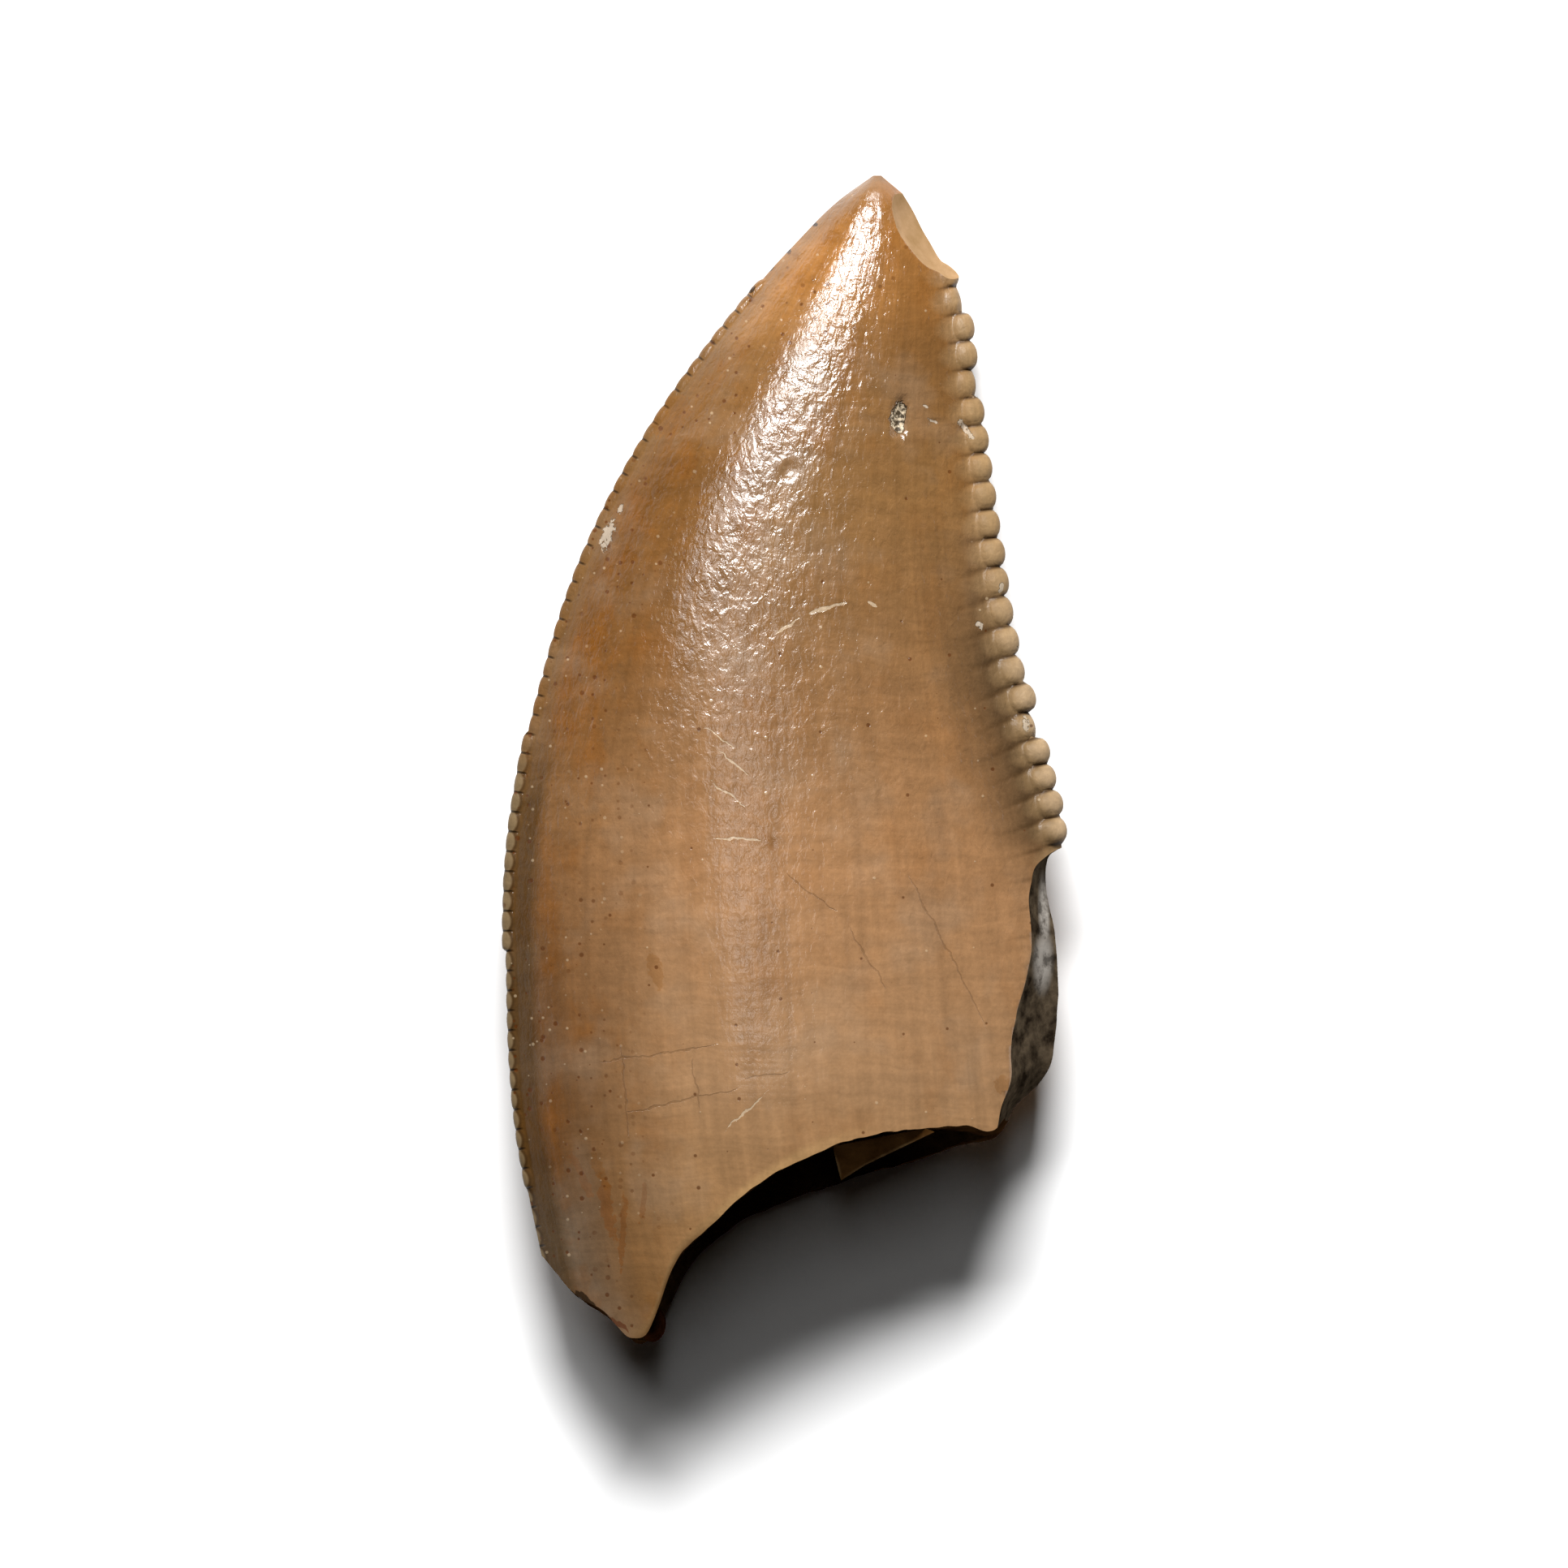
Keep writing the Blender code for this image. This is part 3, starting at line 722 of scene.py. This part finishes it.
# Where things lie on the enamel: a zone's name, the value that tells it, and that value where the
# zone starts and where it is full. Lengths are in millimetres, and numbers count denticles.
ZONES = [
    ("labial", "face_up", 0.0, 0.1), ("face", "face_up", -0.15, -0.05),
    ("bead", "distal_bead", 0.46, 0.06), ("bead tip", "distal_bead", 0.20, 0.00),
    ("in distal row", "distal_number", -0.6, 0.4), ("low beads", "distal_number", 9.0, 15.0),
    ("distal notch", "distal_wave", 0.40, 0.49), ("notch near", "distal_in", 0.28, 0.12),
    ("groove", "slant_wave", 0.36, 0.49), ("groove start", "distal_in", 0.15, 0.28),
    ("groove end", "distal_in", 0.85, 0.40), ("distal side", "distal_in", 1.8, 0.6),
    ("shaded smudge", "distal_in", 1.15, 0.40), ("smudge top", "y", 3.6, 1.4), ("smudge low", "y", -2.0, -1.0),
    ("lobe", "mesial_bead", 0.055, 0.025), ("lobe pale", "y", 0.4, -0.3),
    ("outline", "mesial_bead", 0.030, 0.060), ("outline end", "mesial_bead", 0.100, 0.065),
    ("in mesial row", "mesial_number", -0.6, 0.6), ("mesial notch", "mesial_wave", 0.42, 0.48),
    ("notch start", "mesial_in", 0.09, 0.04), ("mesial edge", "mesial_in", 0.30, 0.10),
    ("band", "mesial_in", 0.46, 0.30), ("below middle", "y", 0.8, -0.6),
    ("mesial side", "mesial_in", 2.3, 0.5), ("near mesial", "mesial_in", 2.2, 0.9),
    ("high", "y", -1.5, 2.0), ("low", "y", -0.8, -3.5), ("upper", "y", 4.4, 5.6),
    ("under tip", "y", 5.6, 3.8), ("tip", "y", 5.2, 7.0),
    ("spur foot", "y", -5.6, -6.6), ("spur side", "mesial_in", 1.3, 0.4),
    ("rim", "above_break", 0.20, 0.08), ("rim side", "x", 1.4, 0.2), ("rim right", "x", -2.2, -1.9),
    ("shaded edge of rim", "above_break", 0.20, 0.02), ("edge side", "x", -0.7, -1.3),
    ("mesial gloss", "mesial_in", 0.1, 2.0), ("distal gloss", "distal_in", 0.1, 1.2),
    ("rust clouds", "stain", 0.50, 0.68), ("grey clouds", "clouds", 0.50, 0.66),
    ("crowded", "clouds", 0.36, 0.52),
]

# The stain's layers, each over the ones before: the zones and marks where they meet, the
# strength, and the colour.
LAYERS = [
    (["mesial side", "high", "under tip"], 0.50, "#62390f"),
    (["mesial side", "under tip"], 0.45, "#553613"),
    (["mesial side", "low"], 0.60, "#482606"),
    (["distal side", "upper"], 0.34, "#4a2f14"),
    (["spur side", "spur foot"], 0.62, "#6f6252"),
    (["spur streaks"], 0.50, "#6b3d14"),
    (["rust clouds", "rust side"], 0.50, "#73430f"),
    (["grey clouds"], 0.25, "#7a6a58"),
    # Darker beside the distal denticles: partly grey grime, partly painted shade of the furrow there.
    (["shaded smudge", "smudge top", "smudge low"], 0.90, "#483724"),
    (["bead", "in distal row"], 0.80, "#8d7350"),
    (["bead tip", "low beads"], 0.36, "#b39c80"),
    (["band", "below middle"], 0.73, "#3d2a10"),
    (["mesial edge", "high"], 0.50, "#6b5133"),
    (["lobe", "lobe pale"], 0.65, "#76654b"),
    (["outline", "outline end", "lobe pale"], 0.40, "#1f170d"),
    (["distal notch", "notch near", "in distal row"], 0.80, "#2c1a0a"),
    (["groove", "groove start", "groove end", "low beads"], 0.42, "#33210e"),
    (["mesial notch", "notch start", "in mesial row"], 0.75, "#1d140a"),
    # The pale strip along the base break is partly the paler broken enamel and partly a painted highlight of
    # a rounded edge.
    (["rim", "rim side", "rim right", "labial"], 0.45, "#ad8a5c"),
    # Painted shade: a dark band where that rounded broken edge turns down.
    (["shaded edge of rim", "edge side", "rim right", "labial"], 0.70, "#3b2410"),
    (["rust"], 0.35, "#6d4210"),
    (["dark specks"], 0.70, "#4a2407"),
    # Pale grains, partly painted glints.
    (["pale specks"], 0.36, "#b8a384"),
    (["cracks"], 0.28, "#4a2f16"),
    (["scratches"], 0.62, "#b8a58b"),
    (["chips"], 0.58, "#b0a595"),
    (["edge dirt"], 0.85, "#1c1208"),
    (["red edge"], 0.70, "#4f2410"),
    (["pit"], 0.90, "#38270f"),
]
PIT_SAND = ("#33260f", "#b5a58c")


def enamel_values(tree, place):
    """What the enamel's zones go by: the stored places, waves along the rows, and the patterns."""
    value = {
        name: add(tree, "Attribute", {}, "Fac", attribute_name=name)
        for name in (
            "across", "face_up", "above_break", "distal_number", "distal_in", "mesial_number", "mesial_in",
        )
    }
    x_and_y = add(tree, "SeparateXYZ", {0: place}).node
    value["x"], value["y"] = x_and_y.outputs["X"], x_and_y.outputs["Y"]
    slant = add(tree, "Math", {
        0: value["distal_in"], 1: -GROOVE_SLANT, 2: value["distal_number"],
    }, operation="MULTIPLY_ADD")
    value["slant_wave"] = add(tree, "Math", {0: slant, 1: 0.5}, operation="PINGPONG")
    # A bead's own distance inwards swells towards the notches, so that its edge is round.
    for side, swell in (("distal", 0.7), ("mesial", 0.22)):
        wave = add(tree, "Math", {0: value[side + "_number"], 1: 0.5}, operation="PINGPONG")
        squared = product(tree, wave, wave)
        value[side + "_wave"] = wave
        value[side + "_bead"] = add(tree, "Math", {
            0: squared, 1: swell, 2: value[side + "_in"],
        }, operation="MULTIPLY_ADD")

    wander = add(tree, "TexNoise", {"Vector": place, "Scale": 0.7, "Detail": 2.0}, "Color")
    follow = {
        "place": place,
        "wandering": add(tree, "VectorMath", {
            0: wander, 1: (0.5, 0.5, 0.5), 2: place,
        }, operation="MULTIPLY_ADD"),
        "fan": add(tree, "CombineXYZ", {"X": value["across"], "Y": value["y"], "Z": value["face_up"]}),
    }
    for name, base, stretch, detail, _ in PATTERNS:
        stretched = add(tree, "Mapping", {"Vector": follow[base], "Scale": stretch})
        value[name] = add(tree, "TexNoise", {
            "Vector": stretched, "Scale": 1.0, "Detail": detail, "Roughness": 0.6,
        })
    return value


def enamel_masks(tree, place, value):
    """The zones, specks and marks by name, each from 0 where it isn't to 1 where it is full."""
    mask = {
        name: add(tree, "MapRange", {"Value": value[told_by], "From Min": none, "From Max": full})
        for name, told_by, none, full in ZONES
    }
    mask["rust side"] = add(tree, "Math", {
        0: mask["mesial side"], 1: 0.6, 2: 0.35,
    }, operation="MULTIPLY_ADD")

    shifted = add(tree, "Mapping", {"Vector": place, "Location": SPECKS_SHIFT})
    crowd = product(tree, mask["near mesial"], mask["crowded"])
    more_dark = product(tree, specks(tree, shifted, *MORE_DARK), crowd)
    more_pale = product(tree, specks(tree, place, *MORE_PALE), crowd, mask["labial"])
    few_dark = specks(tree, place, *FEW_DARK)
    few_pale = specks(tree, shifted, *FEW_PALE)
    mask["dark specks"] = add(tree, "Math", {0: few_dark, 1: more_dark}, operation="MAXIMUM")
    mask["pale specks"] = add(tree, "Math", {0: few_pale, 1: more_pale}, operation="MAXIMUM")

    # The marks wander a little, and the grain eats into their edges.
    jitter = add(tree, "TexNoise", {"Vector": place, "Scale": 4.0, "Detail": 3.0}, "Color")
    centred = add(tree, "VectorMath", {0: jitter, 1: (-0.5, -0.5, -0.5)}, operation="ADD")
    jittered = add(tree, "VectorMath", {0: centred, 1: (0.16, 0.16, 0.0), 2: place}, operation="MULTIPLY_ADD")
    eaten = add(tree, "Math", {0: value["grain"], 1: 0.5}, operation="SUBTRACT")
    for name, (lines, ragged) in MARKS.items():
        whole = marks(tree, jittered, lines)
        drawn = add(tree, "Math", {0: eaten, 1: ragged, 2: whole}, operation="MULTIPLY_ADD")
        drawn = add(tree, "MapRange", {"Value": drawn, "From Min": 0.32, "From Max": 0.55})
        within = add(tree, "MapRange", {"Value": whole, "From Min": 0.0, "From Max": 0.2})
        mask[name] = product(tree, drawn, within, mask["face"])
    return mask


def enamel_colour(tree, value, mask):
    """The stain from the base to the tip, under its layers, lighter and darker with the patterns."""
    level = add(tree, "MapRange", {"Value": value["y"], "From Min": -8.2, "From Max": 8.2})
    along = add(tree, "ValToRGB", {0: level}, "Color").node
    stops = along.color_ramp.elements
    for place_on_ramp, colour in BASE_TO_TIP:
        stops.new(place_on_ramp).color = linear(colour)
    stops.remove(stops[0])
    stops.remove(stops[-1])
    colour = along.outputs["Color"]
    for names, strength, over in LAYERS:
        where = product(tree, *[mask[name] for name in names])
        amount = add(tree, "Math", {0: where, 1: strength}, operation="MULTIPLY")
        colour = add(tree, "Mix", {0: amount, 6: colour, 7: linear(over)}, 2, data_type="RGBA")

    # Dark and pale sand fills the floor of the pit.
    pit_floor = add(tree, "MapRange", {"Value": mask["pit"], "From Min": 0.5, "From Max": 1.0})
    sand = add(tree, "MapRange", {"Value": value["grain"], "From Min": 0.45, "From Max": 0.60})
    dark, pale = PIT_SAND
    sand = add(tree, "Mix", {0: sand, 6: linear(dark), 7: linear(pale)}, 2, data_type="RGBA")
    colour = add(tree, "Mix", {0: pit_floor, 6: colour, 7: sand}, 2, data_type="RGBA")

    shade = 1.0
    for name, _, _, _, strength in PATTERNS:
        own = add(tree, "Math", {
            0: value[name], 1: strength, 2: 1 - strength / 2,
        }, operation="MULTIPLY_ADD")
        shade = add(tree, "Math", {0: shade, 1: own}, operation="MULTIPLY")
    return add(tree, "VectorMath", {0: colour, "Scale": shade}, operation="SCALE")


def enamel_relief(tree, place, value, mask):
    """What breaks the gloss: facets of 0.06 to 0.1 mm, finer threads, and the marks, in millimetres."""
    slanted = add(tree, "Mapping", {"Vector": place, "Rotation": (0, 0, 0.6), "Scale": (1.0, 0.62, 1.0)})
    peel = add(tree, "TexNoise", {
        "Vector": slanted, "Scale": 9.0, "Detail": 3.0, "Roughness": 0.55, "Distortion": 0.4,
    })
    polish = add(tree, "MapRange", {
        "Value": value["y"], "From Min": -5.0, "From Max": 0.5, "To Min": 0.005, "To Max": 0.020,
    })
    relief = product(tree, peel, polish)
    notches = product(tree, mask["mesial notch"], mask["notch start"], mask["in mesial row"])
    for layer, amount in (
        (value["threads across"], 0.004), (value["threads down"], 0.004), (value["grain"], 0.002),
        (mask["dark specks"], -0.002), (mask["pale specks"], 0.002), (mask["cracks"], -0.004),
        (mask["scratches"], -0.003), (mask["chips"], -0.015), (mask["pit"], -0.03), (notches, -0.01),
    ):
        relief = add(tree, "Math", {0: layer, 1: amount, 2: relief}, operation="MULTIPLY_ADD")
    return add(tree, "Bump", {"Height": relief, "Strength": 1.0, "Distance": MM})


def enamel_roughness(tree, value, mask):
    """The polish varies with the mottling, and the beads, the pit and the chips are duller."""
    rough = add(tree, "MapRange", {
        "Value": value["mottle"], "From Min": 0.3, "From Max": 0.7, "To Min": 0.15, "To Max": 0.25,
    })
    for layer, amount in ((mask["bead"], 0.35), (mask["pit"], 0.4), (mask["chips"], 0.4)):
        rough = add(tree, "Math", {0: layer, 1: amount, 2: rough}, operation="MULTIPLY_ADD")
    return rough


def enamel_gloss(tree, mask):
    """Towards the edges the enamel is worn duller, but not at the tip."""
    gloss = product(tree, mask["mesial gloss"], mask["distal gloss"])
    gloss = add(tree, "Math", {0: gloss, 1: mask["tip"]}, operation="MAXIMUM")
    return add(tree, "MapRange", {"Value": gloss, "To Min": 0.06, "To Max": 0.40})


def enamel():
    """Fossil tooth enamel, stained tan and brown by iron and worn by burial.

    The glassy crystals still give a bright, broken gloss, and fine lines run down and across it.
    """
    material, tree, shader = new_material("iron_stained_fossil_enamel", 0.22, 1.62)
    place = millimetres(tree)
    value = enamel_values(tree, place)
    mask = enamel_masks(tree, place, value)
    # The socket's own value stands for the whole surface wherever the varying specular level below is not
    # read. The export drops a varying specular level and takes the socket's own value.
    shader.inputs["Specular IOR Level"].default_value = 0.3
    for socket, output in (
        ("Base Color", enamel_colour(tree, value, mask)),
        ("Normal", enamel_relief(tree, place, value, mask)),
        ("Roughness", enamel_roughness(tree, value, mask)),
        ("Specular IOR Level", enamel_gloss(tree, mask)),
    ):
        tree.links.new(output, shader.inputs[socket])
    return material


def broken_surface(name, roughness, colours, grain, relief, streaks=None, streak_colour="#000000"):
    """The look of a break: two colours in lumps of this grain in millimetres, relief, and streaks."""
    material, tree, shader = new_material(name, roughness, 1.6)
    shader.inputs["Specular IOR Level"].default_value = 0.0
    place = millimetres(tree)
    lumps = add(tree, "TexNoise", {"Vector": place, "Scale": 1 / grain, "Detail": 5.0, "Roughness": 0.6})
    spread = add(tree, "MapRange", {"Value": lumps, "From Min": 0.35, "From Max": 0.65})
    first, second = colours
    colour = add(tree, "Mix", {0: spread, 6: linear(first), 7: linear(second)}, 2, data_type="RGBA")
    if streaks:
        patchy = add(tree, "MapRange", {"Value": lumps, "From Min": 0.38, "From Max": 0.52, "To Min": 0.3})
        drawn = product(tree, marks(tree, place, streaks), patchy)
        colour = add(tree, "Mix", {0: drawn, 6: colour, 7: linear(streak_colour)}, 2, data_type="RGBA")
    tree.links.new(colour, shader.inputs["Base Color"])
    height = add(tree, "Math", {0: lumps, 1: relief}, operation="MULTIPLY")
    tree.links.new(add(tree, "Bump", {"Height": height, "Distance": MM}), shader.inputs["Normal"])
    return material


def make_floor():
    """A sheet of matt white card under the tooth."""
    mesh = bmesh.new()
    bmesh.ops.create_grid(mesh, x_segments=1, y_segments=1, size=FLOOR_HALF_WIDTH * MM)
    floor = object_from(mesh, "floor")
    material, tree, shader = new_material("matt_white_card", 0.9, 1.5)
    shader.inputs["Base Color"].default_value = (0.9, 0.9, 0.9, 1.0)
    shader.inputs["Specular IOR Level"].default_value = 0.0
    floor.data.materials.append(material)


def make_camera():
    """Straight down on the tooth from far away, as the photograph was taken."""
    data = bpy.data.cameras.new("camera")
    data.sensor_width = SENSOR
    data.lens = SENSOR * (CAMERA_Z - VIEW_LEVEL_Z) / VIEW_WIDTH
    data.clip_start = 10 * MM
    data.clip_end = 2.0
    camera = bpy.data.objects.new("camera", data)
    camera.location = Vector((0.0, VIEW_MIDDLE_Y, CAMERA_Z)) * MM
    bpy.context.scene.collection.objects.link(camera)
    bpy.context.scene.camera = camera


def make_lights():
    """The softboxes beyond the tip, and a faint even light from all round."""
    for name, rise, turn, (width, height), power in SOFTBOXES:
        data = bpy.data.lights.new(name, "AREA")
        data.shape = "RECTANGLE"
        data.size = width * MM
        data.size_y = height * MM
        data.energy = power
        softbox = bpy.data.objects.new(name, data)
        rise, turn = math.radians(rise), math.radians(turn)
        level = math.cos(rise)
        place = Vector((math.sin(turn) * level, math.cos(turn) * level, math.sin(rise))) * LIGHT_DISTANCE
        softbox.location = place * MM
        softbox.rotation_euler = (-place).to_track_quat("-Z", "Y").to_euler()
        softbox.visible_camera = False
        bpy.context.scene.collection.objects.link(softbox)
    world = bpy.data.worlds.new("studio")
    world.use_nodes = True
    background = world.node_tree.nodes["Background"]
    background.inputs["Color"].default_value = AMBIENT_COLOUR
    background.inputs["Strength"].default_value = AMBIENT
    bpy.context.scene.world = world
    bpy.context.scene.view_settings.view_transform = "Standard"


def make_tooth():
    crown = make_crown()
    crown.data.materials.append(enamel())
    cream = broken_surface("fresh_enamel_chip", 0.35, ("#8a6d4a", "#a38463"), 0.5, 0.01)
    dentine = broken_surface(
        "polished_dark_dentine", 0.28, ("#1f1811", "#544839"), 0.25, 0.02, CHIP_STREAKS, "#98928a",
    )
    rim = broken_surface("rough_broken_dentine", 0.5, ("#1c0f06", "#3a2410"), 0.25, 0.04)
    lining = broken_surface("sediment_stained_pulp_lining", 0.6, ("#30200f", "#4d3822"), 0.35, 0.05)
    # The flake's dark brown is partly its own colour and partly painted shade of the drooping plate.
    thin = broken_surface("thin_brown_flake_with_painted_shade", 0.4, ("#4a2f14", "#6b4a26"), 0.4, 0.01, FLAKE_EDGES, "#a08055")
    lip = broken_surface("red_brown_dentine_lip", 0.25, ("#1c0c04", "#331809"), 0.2, 0.01)
    cutters = [
        (make_pulp_cavity(), lining), (make_base_break(), rim),
        (make_tip_chip(), cream), (make_distal_chip(), dentine),
    ]
    joined = [(make_flake(), thin), (make_spur_drop(), lip)]
    for other, material in cutters + joined:
        other.data.materials.append(material)
    cut_and_join(crown, [other for other, material in cutters], [other for other, material in joined])

    points = read_points(crown.data)
    give_places(crown.data, points)
    turn = Euler([math.radians(angle) for angle in REST_TURN] + [0.0]).to_matrix()
    move_points(crown.data, points @ np.array(turn).T + np.array(REST_SHIFT))
    crown.data.shade_smooth()
    crown.data.set_sharp_from_angle(angle=math.radians(SHARP_ANGLE))
    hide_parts("tooth")
    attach(crown, "root")


make_camera()
make_lights()
make_floor()
make_tooth()
